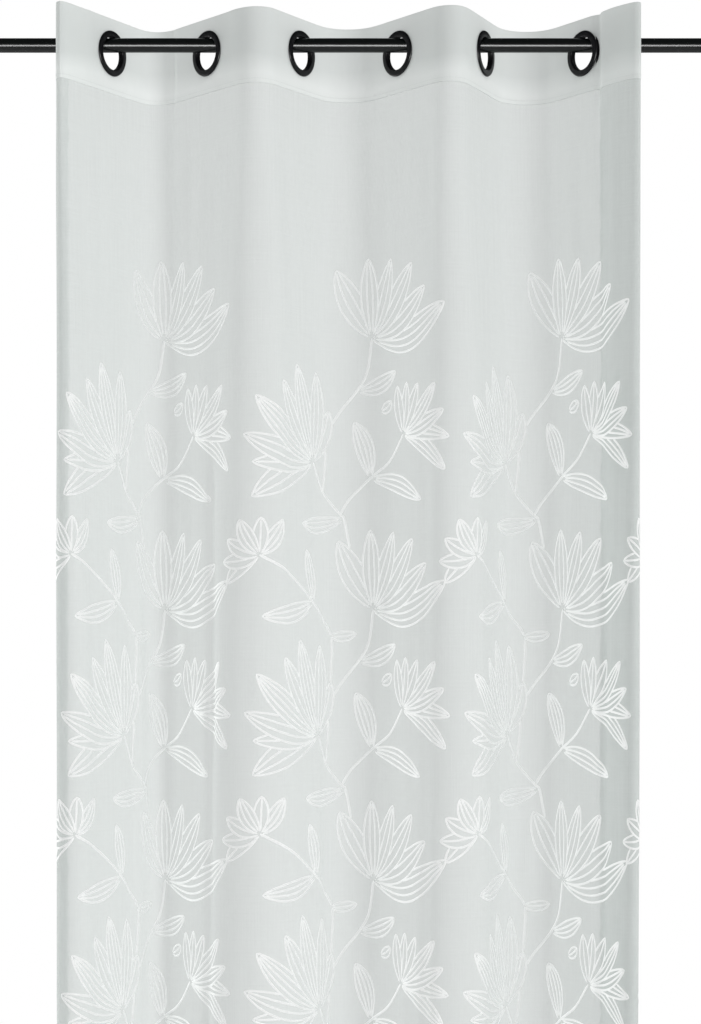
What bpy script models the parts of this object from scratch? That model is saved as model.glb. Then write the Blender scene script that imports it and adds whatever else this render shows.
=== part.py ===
"""Sheer voile curtain hung by eyelets on a round rod.

Units are metres and +Z is up. X runs along the rod, the room is on the -Y side,
and the origin is the middle of the rod's axis.
"""

import math
from collections import namedtuple

import bmesh
import bpy
import numpy as np

MM = 0.001

# Rod and its end caps
ROD_RADIUS = 8.75 * MM
ROD_LENGTH = 1.000
ROD_SIDES = 32
CAP_RADIUS = 11 * MM
CAP_LENGTH = 14 * MM
CAP_EDGE = 3 * MM
CAP_SHOULDER = 0.9 * MM
SEAT_GAP = 0.3 * MM

# Cloth as it is cut and sewn, lying flat
CUT_DROP = 2.400
SIDE_MARGIN = 69 * MM
HEADING_DEPTH = 92 * MM
HEADING_THICKNESS = 2.0 * MM
VOILE_THICKNESS = 1.0 * MM
HEM_THICKNESS = 1.6 * MM
SIDE_HEM = 25 * MM
BOTTOM_HEM = 90 * MM
HEM_STEP = 1.0 * MM

# Eyelets: a front piece with a barrel, and a back ring clipped onto the barrel
EYELET_BORE = 20 * MM
EYELET_RIM = 28 * MM
BARREL_WALL = 1.2 * MM
BARREL_TAIL = 0.4 * MM
FLANGE_HEIGHT = 2.2 * MM
FLANGE_FOOT = 0.3 * MM
BACK_HEIGHT = 1.5 * MM
BACK_EDGE = 0.6 * MM
BACK_ROUND = 1.0 * MM
HOLE_CLEARANCE = 1.0 * MM
EYELET_STEPS = 24
CUTTER_DEPTH = 20 * MM

# The front flange rounds off towards its rim and its bore. Each point lies this far in from
# the rim, or out from the bore, and this far below the flange's crown.
EdgePoint = namedtuple("EdgePoint", "inset below")
RIM_EDGE = (
    EdgePoint(inset=1.4 * MM, below=0.35 * MM),
    EdgePoint(inset=0.0, below=1.3 * MM),
)
BORE_EDGE = (
    EdgePoint(inset=0.0, below=1.2 * MM),
    EdgePoint(inset=1.2 * MM, below=0.3 * MM),
)

# The eyelets hang on the rod, so their centres lie below its axis. A slanted barrel meets the
# rod at the ends of its bore first, which lifts it a little.
SLANT_LIFT = 0.70 * MM
EYELET_DROP = EYELET_BORE - ROD_RADIUS - SEAT_GAP - SLANT_LIFT
TOP_EDGE = 33 * MM

# One row for each eyelet, left to right: its place along the rod, the slant of the cloth
# there as seen from above (degrees, positive where it runs back towards the right), and
# the flat cloth between it and the next eyelet.
Eyelet = namedtuple("Eyelet", "along slant flat_after")
EYELETS = (
    Eyelet(along=-358.0 * MM, slant=-88.0, flat_after=190 * MM),
    Eyelet(along=-295.5 * MM, slant=58.7, flat_after=184 * MM),
    Eyelet(along=-176.3 * MM, slant=-50.0, flat_after=170 * MM),
    Eyelet(along=-61.7 * MM, slant=56.3, flat_after=168 * MM),
    Eyelet(along=59.2 * MM, slant=-52.0, flat_after=174 * MM),
    Eyelet(along=165.2 * MM, slant=65.6, flat_after=188 * MM),
    Eyelet(along=287.7 * MM, slant=-55.0, flat_after=188 * MM),
    Eyelet(along=333.5 * MM, slant=104.0, flat_after=SIDE_MARGIN),
)

# Behind the outer eyelets the cloth's free edges curl inwards over this flat length.
MARGIN_CURL = 40 * MM
LEFT_CURL = math.radians(12)
RIGHT_CURL = math.radians(6)

# One row for each height that is told apart, from the top edge down: the distance below the
# top edge, how much wider the folds open there (degrees added to each inner slant), and how far
# each of the eight lines under the eyelets has wandered along the rod, left to right.
FoldRow = namedtuple("FoldRow", "drop relax wander")
FOLD_ROWS = (
    FoldRow(drop=0.000, relax=0.0, wander=(0, 0, 0, 0, 0, 0, 0, 0)),
    FoldRow(drop=HEADING_DEPTH, relax=0.0, wander=(0, 0, 0, 0, 0, 0, 0, 0)),
    FoldRow(drop=0.480, relax=4.0, wander=(1, 4, -1, 3, 5, 7, 3, 0)),
    FoldRow(drop=0.980, relax=5.5, wander=(0, 13, -4, 9, 4, 12, 2, -1)),
    FoldRow(drop=1.600, relax=6.5, wander=(2, 9, -9, 13, -4, 7, -5, -3)),
    FoldRow(drop=CUT_DROP, relax=8.0, wander=(-3, 3, -12, 6, -9, 10, -6, 3)),
)

# How finely the bends are stepped, and how far the panel's steps reach past each bend
BEND_STEPS = 9
BEND_REACH = 12 * MM
PANEL_ROWS = 11

# Edges blunter than this are shaded smooth.
CLOTH_CREASE = math.radians(35)
ROD_CREASE = math.radians(40)
EYELET_CREASE = math.radians(50)

# Lengths and angles below this count as nothing, and points this close are one.
NOTHING = 1e-9
WELD_DISTANCE = 0.01 * MM

Finish = namedtuple("Finish", "colour roughness metallic")
BAND_FINISH = Finish(colour=(0.66, 0.69, 0.68), roughness=0.85, metallic=0.0)
VOILE_FINISH = Finish(colour=(0.70, 0.73, 0.72), roughness=0.80, metallic=0.0)
EYELET_FINISH = Finish(colour=(0.012, 0.012, 0.013), roughness=0.38, metallic=0.0)
ROD_FINISH = Finish(colour=(0.010, 0.010, 0.011), roughness=0.42, metallic=0.6)
CAP_FINISH = Finish(colour=(0.014, 0.014, 0.015), roughness=0.50, metallic=0.0)

Bend = namedtuple("Bend", "start point angle length turn")


def clear_scene():
    """Remove whatever the scene holds."""
    for old in list(bpy.data.objects):
        bpy.data.objects.remove(old, do_unlink=True)


def new_collection(name):
    """Make a collection under the scene's own."""
    collection = bpy.data.collections.new(name)
    bpy.context.scene.collection.children.link(collection)
    return collection


def new_material(name, finish):
    """Make a Principled material of one finish."""
    material = bpy.data.materials.new(name)
    material.use_nodes = True
    shader = material.node_tree.nodes["Principled BSDF"]
    shader.inputs["Base Color"].default_value = (*finish.colour, 1.0)
    shader.inputs["Roughness"].default_value = finish.roughness
    shader.inputs["Metallic"].default_value = finish.metallic
    return material


def new_object(name, mesh, collection, finish=None):
    """Put a mesh into a collection as an object with a material of its own."""
    item = bpy.data.objects.new(name, mesh)
    collection.objects.link(item)
    if finish is not None:
        mesh.materials.append(new_material(name + "_finish", finish))
    return item


def smooth_edges(item, sharp_angle):
    """Shade a mesh smooth, with edges sharper than an angle kept crisp."""
    item.data.shade_smooth()
    item.data.set_sharp_from_angle(angle=sharp_angle)


def apply_modifiers(item, sharp_angle):
    """Swap an object's mesh for the one that its modifiers make, and shade it."""
    bpy.context.view_layer.update()
    evaluated = item.evaluated_get(bpy.context.evaluated_depsgraph_get())
    finished = bpy.data.meshes.new_from_object(evaluated)
    finished.name = item.name
    item.modifiers.clear()
    item.data = finished
    smooth_edges(item, sharp_angle)


def advance(point, angle, length, turn):
    """Walk along a bend that turns evenly, and give the point and the angle at its end."""
    if abs(turn) < NOTHING:
        step = (length * math.cos(angle), length * math.sin(angle))
    else:
        radius = length / turn
        step = (
            radius * (math.sin(angle + turn) - math.sin(angle)),
            radius * (math.cos(angle) - math.cos(angle + turn)),
        )
    return (point[0] + step[0], point[1] + step[1]), angle + turn


def ease(share):
    """Turn a straight share from 0 to 1 into one that starts and ends gently."""
    return share * share * (3.0 - 2.0 * share)


def fold_row(drop):
    """Give the opening of the folds and the wander of their lines at one height."""
    lower = next(index for index, row in enumerate(FOLD_ROWS) if drop <= row.drop + NOTHING)
    lower = max(lower, 1)
    above, below = FOLD_ROWS[lower - 1], FOLD_ROWS[lower]
    share = ease((drop - above.drop) / (below.drop - above.drop))
    relax = above.relax + share * (below.relax - above.relax)
    wander = [a + share * (b - a) for a, b in zip(above.wander, below.wander)]
    return relax, wander


def eyelet_lines(drop):
    """Give where each eyelet's line crosses the rod's plane at one height, and its slant."""
    relax, wander = fold_row(drop)
    last = len(EYELETS) - 1
    lines = []
    for index, eyelet in enumerate(EYELETS):
        opened = 0.0 if index in (0, last) else relax
        slant = math.radians(eyelet.slant + math.copysign(opened, eyelet.slant))
        lines.append(((eyelet.along + wander[index] * MM, 0.0), slant))
    return lines


def solve_fold(start, start_slant, end, end_slant, flat):
    """Fit straight, round bend, straight between two eyelet lines, with the flat length kept.

    Gives the two straight lengths and the length of the bend between them.
    """
    turn = end_slant - start_slant
    equations = np.array(
        [
            [math.cos(start_slant), math.cos(end_slant), math.sin(end_slant) - math.sin(start_slant)],
            [math.sin(start_slant), math.sin(end_slant), math.cos(start_slant) - math.cos(end_slant)],
            [1.0, 1.0, turn],
        ]
    )
    wanted = np.array([end[0] - start[0], end[1] - start[1], flat])
    first, second, radius = np.linalg.solve(equations, wanted)
    return first, second, radius * turn


def plan_bends(drop):
    """Lay out the cloth as seen from above at one height, as bends from left edge to right."""
    lines = eyelet_lines(drop)
    straight = SIDE_MARGIN - MARGIN_CURL
    first_point, first_slant = lines[0]
    curl_end, _ = advance(first_point, first_slant, -straight, 0.0)
    edge, edge_slant = advance(curl_end, first_slant, -MARGIN_CURL, -LEFT_CURL)
    pieces = [(MARGIN_CURL, LEFT_CURL), (straight, 0.0)]
    for index in range(len(lines) - 1):
        (start, start_slant), (end, end_slant) = lines[index], lines[index + 1]
        first, second, bend = solve_fold(
            start, start_slant, end, end_slant, EYELETS[index].flat_after
        )
        pieces += [(first, 0.0), (bend, end_slant - start_slant), (second, 0.0)]
    pieces += [(straight, 0.0), (MARGIN_CURL, RIGHT_CURL)]

    bends = []
    flat, point, angle = 0.0, edge, edge_slant
    for length, turn in pieces:
        bends.append(Bend(flat, point, angle, length, turn))
        point, angle = advance(point, angle, length, turn)
        flat += length
    return bends


def place_on_plan(bends, flat):
    """Give the point of the hung cloth that lies a flat distance from its left edge."""
    bend = next((b for b in bends if flat <= b.start + b.length + NOTHING), bends[-1])
    walked = flat - bend.start
    point, _ = advance(bend.point, bend.angle, walked, bend.turn * walked / bend.length)
    return point


def column_places(reach, with_hems):
    """Give the flat distances at which the cloth is stepped, finely over each bend."""
    bends = plan_bends(0.0)
    cut_width = bends[-1].start + bends[-1].length
    edge_places = [0.0, SIDE_HEM / 2, MARGIN_CURL]
    if with_hems:
        edge_places += [SIDE_HEM, SIDE_HEM + HEM_STEP]
    places = edge_places + [cut_width - place for place in edge_places]
    folds = [b for b in bends[1:-1] if b.turn != 0.0]
    for fold in folds:
        start, end = fold.start - reach, fold.start + fold.length + reach
        places += list(np.linspace(start, end, BEND_STEPS + 1))
    return sorted(places)


def cloth_surface(name, places, drops):
    """Make the cloth's middle surface as an open sheet of rows that hang one below the other."""
    mesh = bpy.data.meshes.new(name)
    surface = bmesh.new()
    rows = []
    for drop in drops:
        bends = plan_bends(drop)
        points = [place_on_plan(bends, place) for place in places]
        rows.append([surface.verts.new((x, y, TOP_EDGE - drop)) for x, y in points])
    for upper, lower in zip(rows, rows[1:]):
        for index in range(len(places) - 1):
            surface.faces.new((upper[index], lower[index], lower[index + 1], upper[index + 1]))
    surface.to_mesh(mesh)
    surface.free()
    return mesh


def add_thickness(item, thickness, group=""):
    """Give an open sheet an even thickness about its middle, or one that follows a group."""
    solidify = item.modifiers.new("Thickness", "SOLIDIFY")
    solidify.thickness = thickness
    solidify.offset = 0.0
    solidify.use_even_offset = True
    solidify.vertex_group = group


def eyelet_pose(index):
    """Give an eyelet's centre, and the turn that faces its axis out of the cloth."""
    eyelet = EYELETS[index]
    centre = (eyelet.along, 0.0, -EYELET_DROP)
    return centre, (math.pi / 2, 0.0, math.radians(eyelet.slant))


def turned_piece(name, profile, collection, finish, steps, closed):
    """Turn a profile of (radius, height) points about the local Z axis."""
    mesh = bpy.data.meshes.new(name)
    outline = bmesh.new()
    points = [outline.verts.new((radius, 0.0, height)) for radius, height in profile]
    for start, end in zip(points, points[1:]):
        outline.edges.new((start, end))
    if closed:
        outline.edges.new((points[-1], points[0]))
    outline.to_mesh(mesh)
    outline.free()
    item = new_object(name, mesh, collection, finish)
    screw = item.modifiers.new("Turn", "SCREW")
    screw.axis = "Z"
    screw.steps = steps
    screw.render_steps = steps
    screw.use_merge_vertices = not closed
    screw.merge_threshold = WELD_DISTANCE
    return item


def make_heading_band(collection, cutters):
    """The stiff doubled strip with eight round holes."""
    places = column_places(reach=0.0, with_hems=False)
    mesh = cloth_surface("heading_band", places, (0.0, HEADING_DEPTH))
    band = new_object("heading_band", mesh, collection, BAND_FINISH)
    add_thickness(band, HEADING_THICKNESS)
    hole_radius = EYELET_BORE + BARREL_WALL + HOLE_CLEARANCE
    for index in range(len(EYELETS)):
        disc = bmesh.new()
        bmesh.ops.create_cone(
            disc,
            cap_ends=True,
            segments=EYELET_STEPS,
            radius1=hole_radius,
            radius2=hole_radius,
            depth=CUTTER_DEPTH,
        )
        cutter_mesh = bpy.data.meshes.new("hole_cutter_%d" % index)
        disc.to_mesh(cutter_mesh)
        disc.free()
        cutter = new_object("hole_cutter_%d" % index, cutter_mesh, cutters)
        cutter.location, cutter.rotation_euler = eyelet_pose(index)
        cutter.hide_render = True
        cutter.display_type = "WIRE"
        cut = band.modifiers.new("Hole %d" % index, "BOOLEAN")
        cut.operation = "DIFFERENCE"
        cut.solver = "EXACT"
        cut.object = cutter
    apply_modifiers(band, CLOTH_CREASE)
    return band


def make_voile_panel(collection):
    """The sheer cloth below the band, thicker where its sides and bottom are hemmed."""
    top = HEADING_DEPTH + SEAT_GAP
    hem_top = CUT_DROP - BOTTOM_HEM
    drops = list(np.linspace(top, hem_top - HEM_STEP, PANEL_ROWS)) + [hem_top, CUT_DROP]
    places = column_places(BEND_REACH, with_hems=True)
    panel = new_object(
        "voile_panel", cloth_surface("voile_panel", places, drops), collection, VOILE_FINISH
    )
    cut_width = places[-1]
    body_share = VOILE_THICKNESS / HEM_THICKNESS
    thickness = panel.vertex_groups.new(name="thickness")
    for row, drop in enumerate(drops):
        for column, place in enumerate(places):
            from_side = min(place, cut_width - place)
            hemmed = from_side < SIDE_HEM + HEM_STEP / 2 or drop > hem_top - HEM_STEP / 2
            vertex = row * len(places) + column
            thickness.add([vertex], 1.0 if hemmed else body_share, "REPLACE")
    add_thickness(panel, HEM_THICKNESS, group="thickness")
    apply_modifiers(panel, CLOTH_CREASE)
    return panel


def front_profile():
    """Outline of an eyelet's front piece, from its crown down the outside and up the bore."""
    seat = HEADING_THICKNESS / 2 + SEAT_GAP
    crown = seat + FLANGE_HEIGHT
    barrel = EYELET_BORE + BARREL_WALL
    tail = -seat - BACK_HEIGHT - BARREL_TAIL
    middle = (EYELET_BORE + EYELET_RIM) / 2
    profile = [(middle, crown)]
    profile += [(EYELET_RIM - point.inset, crown - point.below) for point in RIM_EDGE]
    profile += [(EYELET_RIM, seat + FLANGE_FOOT), (EYELET_RIM - FLANGE_FOOT, seat)]
    profile += [(barrel, seat), (barrel, tail), (EYELET_BORE, tail)]
    profile += [(EYELET_BORE + point.inset, crown - point.below) for point in BORE_EDGE]
    return profile


def back_profile():
    """Outline of an eyelet's back ring, which clips onto the barrel."""
    seat = -HEADING_THICKNESS / 2 - SEAT_GAP
    inner = EYELET_BORE + BARREL_WALL + SEAT_GAP
    return [
        (EYELET_RIM, seat),
        (EYELET_RIM, seat - BACK_EDGE),
        (EYELET_RIM - BACK_ROUND, seat - BACK_HEIGHT),
        (inner, seat - BACK_HEIGHT),
        (inner, seat),
    ]


def make_eyelets(collection):
    """Eight front pieces and eight back rings, each facing out of the cloth where it sits."""
    eyelets = []
    for index in range(len(EYELETS)):
        for side, profile in (("front", front_profile()), ("back", back_profile())):
            name = "eyelet_%s_%d" % (side, index)
            ring = turned_piece(name, profile, collection, EYELET_FINISH, EYELET_STEPS, closed=True)
            ring.location, ring.rotation_euler = eyelet_pose(index)
            apply_modifiers(ring, EYELET_CREASE)
            eyelets.append(ring)
    return eyelets


def make_rod(collection):
    """The plain round rod, lying along X."""
    bar = bmesh.new()
    bmesh.ops.create_cone(
        bar,
        cap_ends=True,
        segments=ROD_SIDES,
        radius1=ROD_RADIUS,
        radius2=ROD_RADIUS,
        depth=ROD_LENGTH,
    )
    mesh = bpy.data.meshes.new("rod")
    bar.to_mesh(mesh)
    bar.free()
    rod = new_object("rod", mesh, collection, ROD_FINISH)
    rod.rotation_euler = (0.0, math.pi / 2, 0.0)
    smooth_edges(rod, ROD_CREASE)
    return rod


def make_caps(collection):
    """A plain round cap with a softened edge at each end of the rod."""
    profile = [
        (0.0, CAP_LENGTH),
        (CAP_RADIUS - CAP_EDGE, CAP_LENGTH),
        (CAP_RADIUS - CAP_SHOULDER, CAP_LENGTH - CAP_SHOULDER),
        (CAP_RADIUS, CAP_LENGTH - CAP_EDGE),
        (CAP_RADIUS, 0.0),
        (0.0, 0.0),
    ]
    caps = []
    for name, side in (("rod_cap_left", -1), ("rod_cap_right", 1)):
        cap = turned_piece(name, profile, collection, CAP_FINISH, ROD_SIDES, closed=False)
        cap.location = (side * (ROD_LENGTH / 2 + SEAT_GAP), 0.0, 0.0)
        cap.rotation_euler = (0.0, side * math.pi / 2, 0.0)
        apply_modifiers(cap, ROD_CREASE)
        caps.append(cap)
    return caps


def main():
    clear_scene()
    parts = new_collection("Sheer voile curtain on a rod")
    cutters = new_collection("Hole cutters")
    centre = bpy.data.objects.new("rod_centre", None)
    parts.objects.link(centre)
    items = [make_heading_band(parts, cutters), make_voile_panel(parts)]
    items += make_eyelets(parts)
    items.append(make_rod(parts))
    items += make_caps(parts)
    for item in items:
        item.parent = centre


main()
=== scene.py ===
"""Sheer voile curtain on a rod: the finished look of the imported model.

Units are metres and +Z is up. X runs along the rod, the room is on the -Y side, and the
origin is the middle of the rod's axis. Places on the cloth are told flat, in millimetres:
across from its left edge, and down from its top edge.
"""

import math
from collections import namedtuple

import bmesh
import bpy
import numpy as np
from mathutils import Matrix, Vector


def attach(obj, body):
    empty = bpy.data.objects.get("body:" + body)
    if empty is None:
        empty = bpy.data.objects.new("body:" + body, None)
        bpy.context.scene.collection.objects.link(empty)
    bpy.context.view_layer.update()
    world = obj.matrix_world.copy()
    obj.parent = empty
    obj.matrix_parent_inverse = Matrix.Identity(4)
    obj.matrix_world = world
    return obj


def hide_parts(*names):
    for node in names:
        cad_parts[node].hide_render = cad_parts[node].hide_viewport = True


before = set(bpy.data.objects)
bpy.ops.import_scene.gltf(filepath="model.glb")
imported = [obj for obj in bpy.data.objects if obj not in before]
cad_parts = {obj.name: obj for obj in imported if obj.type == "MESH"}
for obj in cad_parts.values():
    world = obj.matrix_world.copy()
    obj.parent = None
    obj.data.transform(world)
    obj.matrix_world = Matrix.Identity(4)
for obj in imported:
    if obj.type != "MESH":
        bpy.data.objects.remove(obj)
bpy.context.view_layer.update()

MM = 0.001

# The cloth and its folds, as the solids have them

CUT_WIDTH = 1.400
CUT_DROP = 2.400
SIDE_MARGIN = 69 * MM
HEADING_DEPTH = 92 * MM
SIDE_HEM = 25 * MM
BOTTOM_HEM = 90 * MM
TOP_EDGE = 33 * MM

Eyelet = namedtuple("Eyelet", "along slant flat_after")
EYELETS = (
    Eyelet(along=-358.0 * MM, slant=-88.0, flat_after=190 * MM),
    Eyelet(along=-295.5 * MM, slant=58.7, flat_after=184 * MM),
    Eyelet(along=-176.3 * MM, slant=-50.0, flat_after=170 * MM),
    Eyelet(along=-61.7 * MM, slant=56.3, flat_after=168 * MM),
    Eyelet(along=59.2 * MM, slant=-52.0, flat_after=174 * MM),
    Eyelet(along=165.2 * MM, slant=65.6, flat_after=188 * MM),
    Eyelet(along=287.7 * MM, slant=-55.0, flat_after=188 * MM),
    Eyelet(along=333.5 * MM, slant=104.0, flat_after=SIDE_MARGIN),
)
MARGIN_CURL = 40 * MM
LEFT_CURL = math.radians(12)
RIGHT_CURL = math.radians(6)

FoldRow = namedtuple("FoldRow", "drop relax wander")
FOLD_ROWS = (
    FoldRow(drop=0.000, relax=0.0, wander=(0, 0, 0, 0, 0, 0, 0, 0)),
    FoldRow(drop=HEADING_DEPTH, relax=0.0, wander=(0, 0, 0, 0, 0, 0, 0, 0)),
    FoldRow(drop=0.480, relax=4.0, wander=(1, 4, -1, 3, 5, 7, 3, 0)),
    FoldRow(drop=0.980, relax=5.5, wander=(0, 13, -4, 9, 4, 12, 2, -1)),
    FoldRow(drop=1.600, relax=6.5, wander=(2, 9, -9, 13, -4, 7, -5, -3)),
    FoldRow(drop=CUT_DROP, relax=8.0, wander=(-3, 3, -12, 6, -9, 10, -6, 3)),
)
NOTHING = 1e-9

ROD_RADIUS = 8.75 * MM
ROD_LENGTH = 1.000
CAP_RADIUS = 11 * MM
CAP_LENGTH = 14 * MM
SEAT_GAP = 0.3 * MM
EYELET_BORE = 20 * MM
EYELET_RIM = 28 * MM
EYELET_DROP = 10.25 * MM
BARREL_WALL = 1.2 * MM
HEADING_THICKNESS = 2.0 * MM
FLANGE_HEIGHT = 2.2 * MM
BACK_HEIGHT = 1.5 * MM

Bend = namedtuple("Bend", "start point angle length turn")


def advance(point, angle, length, turn):
    if abs(turn) < NOTHING:
        return (point[0] + length * math.cos(angle), point[1] + length * math.sin(angle)), angle
    radius = length / turn
    end = angle + turn
    return (
        point[0] + radius * (math.sin(end) - math.sin(angle)),
        point[1] + radius * (math.cos(angle) - math.cos(end)),
    ), end


def ease(share):
    return share * share * (3.0 - 2.0 * share)


def fold_row(drop):
    drop = min(max(drop, 0.0), CUT_DROP)
    lower = next(index for index, row in enumerate(FOLD_ROWS) if drop <= row.drop + NOTHING)
    lower = max(lower, 1)
    above, below = FOLD_ROWS[lower - 1], FOLD_ROWS[lower]
    share = ease((drop - above.drop) / (below.drop - above.drop))
    relax = above.relax + share * (below.relax - above.relax)
    return relax, [a + share * (b - a) for a, b in zip(above.wander, below.wander)]


def solve_fold(start, start_slant, end, end_slant, flat):
    turn = end_slant - start_slant
    cos, sin = math.cos, math.sin
    equations = np.array([
        [cos(start_slant), cos(end_slant), sin(end_slant) - sin(start_slant)],
        [sin(start_slant), sin(end_slant), cos(start_slant) - cos(end_slant)],
        [1.0, 1.0, turn],
    ])
    first, second, radius = np.linalg.solve(
        equations, np.array([end[0] - start[0], end[1] - start[1], flat])
    )
    return first, second, radius * turn


def plan_bends(drop):
    """The cloth as seen from above at one height, as bends from its left edge to its right."""
    relax, wander = fold_row(drop)
    last = len(EYELETS) - 1
    lines = []
    for index, eyelet in enumerate(EYELETS):
        opened = 0.0 if index in (0, last) else relax
        slant = math.radians(eyelet.slant + math.copysign(opened, eyelet.slant))
        lines.append(((eyelet.along + wander[index] * MM, 0.0), slant))
    straight = SIDE_MARGIN - MARGIN_CURL
    curl_end, _ = advance(lines[0][0], lines[0][1], -straight, 0.0)
    edge, edge_slant = advance(curl_end, lines[0][1], -MARGIN_CURL, -LEFT_CURL)
    pieces = [(MARGIN_CURL, LEFT_CURL), (straight, 0.0)]
    for index in range(last):
        (start, start_slant), (end, end_slant) = lines[index], lines[index + 1]
        first, second, bend = solve_fold(
            start, start_slant, end, end_slant, EYELETS[index].flat_after
        )
        pieces += [(first, 0.0), (bend, end_slant - start_slant), (second, 0.0)]
    pieces += [(straight, 0.0), (MARGIN_CURL, RIGHT_CURL)]
    bends = []
    flat, point, angle = 0.0, edge, edge_slant
    for length, turn in pieces:
        bends.append(Bend(flat, point, angle, length, turn))
        point, angle = advance(point, angle, length, turn)
        flat += length
    return bends


PLAN_STEP = 2 * MM
PLAN_SOFTNESS = 8 * MM
PLAN_PLACES = np.linspace(0.0, CUT_WIDTH, int(round(CUT_WIDTH / PLAN_STEP)) + 1)


def plan_curve(drop):
    """Points of the plan at even flat steps, with the ends of the bends softened."""
    x = np.zeros(len(PLAN_PLACES))
    y = np.zeros(len(PLAN_PLACES))
    for bend in plan_bends(drop):
        inside = PLAN_PLACES >= bend.start - NOTHING
        walked = PLAN_PLACES[inside] - bend.start
        if abs(bend.turn) < NOTHING:
            x[inside] = bend.point[0] + walked * math.cos(bend.angle)
            y[inside] = bend.point[1] + walked * math.sin(bend.angle)
        else:
            radius = bend.length / bend.turn
            angle = bend.angle + walked / radius
            x[inside] = bend.point[0] + radius * (np.sin(angle) - math.sin(bend.angle))
            y[inside] = bend.point[1] + radius * (math.cos(bend.angle) - np.cos(angle))
    return soften(x), soften(y)


def soften(values):
    reach = int(round(3 * PLAN_SOFTNESS / PLAN_STEP))
    steps = np.arange(-reach, reach + 1) * PLAN_STEP
    weights = np.exp(-0.5 * (steps / PLAN_SOFTNESS) ** 2)
    weights /= weights.sum()
    before = 2 * values[0] - values[reach:0:-1]
    after = 2 * values[-1] - values[-2:-reach - 2:-1]
    return np.convolve(np.concatenate([before, values, after]), weights, mode="valid")


# Creases and ripples, placed on the flat cloth

# A crease stands out from the cloth's front by its height (negative for a trough), fades over
# its width to both sides, and runs from one drop to the other.
Crease = namedtuple("Crease", "across top bottom height width")
CREASES = (
    Crease(across=455, top=520, bottom=2400, height=-2.2, width=6),
    Crease(across=455, top=540, bottom=620, height=-2.0, width=5),
    Crease(across=457, top=776, bottom=950, height=-2.4, width=5),
    Crease(across=830, top=520, bottom=2400, height=-1.8, width=7),
    Crease(across=1177, top=100, bottom=2400, height=-2.2, width=7),
    Crease(across=305, top=650, bottom=2400, height=2.6, width=9),
    Crease(across=640, top=660, bottom=2400, height=2.8, width=9),
    Crease(across=1040, top=980, bottom=1120, height=2.4, width=8),
    Crease(across=1000, top=300, bottom=2400, height=1.6, width=12),
    Crease(across=371, top=-30, bottom=126, height=-2.0, width=3.0),
    Crease(across=1169, top=-60, bottom=140, height=-4.4, width=4.6),
    Crease(across=1203, top=-80, bottom=700, height=4.0, width=18),
    Crease(across=214, top=-60, bottom=120, height=1.0, width=6),
    Crease(across=500, top=-60, bottom=110, height=1.0, width=7),
    Crease(across=548, top=-60, bottom=110, height=0.9, width=8),
    Crease(across=880, top=-60, bottom=110, height=0.9, width=8),
    Crease(across=560, top=150, bottom=760, height=1.4, width=14),
    Crease(across=905, top=130, bottom=640, height=-1.3, width=13),
)
CREASE_FADE = 70

# Long soft ripples, as waves across the cloth: length, height, and how far each wave's
# crest drifts across for each millimetre down.
Ripple = namedtuple("Ripple", "length height drift phase")
RIPPLES = (
    Ripple(length=61, height=0.55, drift=0.010, phase=0.4),
    Ripple(length=43, height=0.40, drift=-0.014, phase=2.1),
    Ripple(length=29, height=0.26, drift=0.006, phase=4.4),
    Ripple(length=97, height=0.60, drift=-0.006, phase=5.2),
)
RIPPLE_SWELL = 640

# Little puckers of the side hems, fading into the cloth
PUCKER_LENGTHS = (23, 37, 58)
PUCKER_HEIGHT = 0.55
PUCKER_REACH = 17


def bump_between(values, low, high, fade):
    rise = np.clip((values - low) / fade, 0.0, 1.0)
    fall = np.clip((high - values) / fade, 0.0, 1.0)
    return ease(rise) * ease(fall)


def relief(across, down):
    """How far the cloth's front stands out of its folds' plain shape, in millimetres."""
    height = np.zeros(np.broadcast(across, down).shape)
    for crease in CREASES:
        fade = min(CREASE_FADE, (crease.bottom - crease.top) / 2.0)
        bottom = crease.bottom + (fade if crease.bottom >= 2400 else 0)
        wobble = 3.0 * np.sin(down / 173.0 + crease.across)
        profile = np.exp(-0.5 * ((across - crease.across - wobble) / crease.width) ** 2)
        height = height + crease.height * profile * bump_between(down, crease.top, bottom, fade)
    body = ease(np.clip((down - 95.0) / 140.0, 0.0, 1.0))
    for ripple in RIPPLES:
        swell = 0.6 + 0.4 * np.sin(2 * math.pi * down / RIPPLE_SWELL + 3 * ripple.phase)
        wave = np.sin(2 * math.pi * (across + ripple.drift * down) / ripple.length + ripple.phase)
        height = height + ripple.height * swell * wave * body
    from_side = np.minimum(across, CUT_WIDTH / MM - across)
    pucker = np.zeros_like(height)
    for index, length in enumerate(PUCKER_LENGTHS):
        pucker = pucker + np.sin(2 * math.pi * down / length + 1.7 * index + across / 400.0)
    height = height + PUCKER_HEIGHT * pucker * np.exp(-0.5 * (from_side / PUCKER_REACH) ** 2)
    return height


# The hung cloth as a grid that everything sewn to it follows

COLUMN_STEP = 5.4
FINE_STEP = 2.6
FINE_REACH = 15
ROW_STEP = 9.4
BAND_ROW_STEP = 4.0
TUCK = 0.6


def cloth_columns(fine_places):
    coarse = np.linspace(0.0, CUT_WIDTH / MM, int(round(CUT_WIDTH / MM / COLUMN_STEP)) + 1)
    places = list(coarse)
    for place in fine_places:
        places += list(np.arange(place - FINE_REACH, place + FINE_REACH + 1, FINE_STEP))
    places = np.array(sorted(places))
    keep = [0]
    for index in range(1, len(places)):
        if places[index] - places[keep[-1]] > 0.45 * FINE_STEP:
            keep.append(index)
    places = places[keep]
    places[-1] = CUT_WIDTH / MM
    return places


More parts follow.
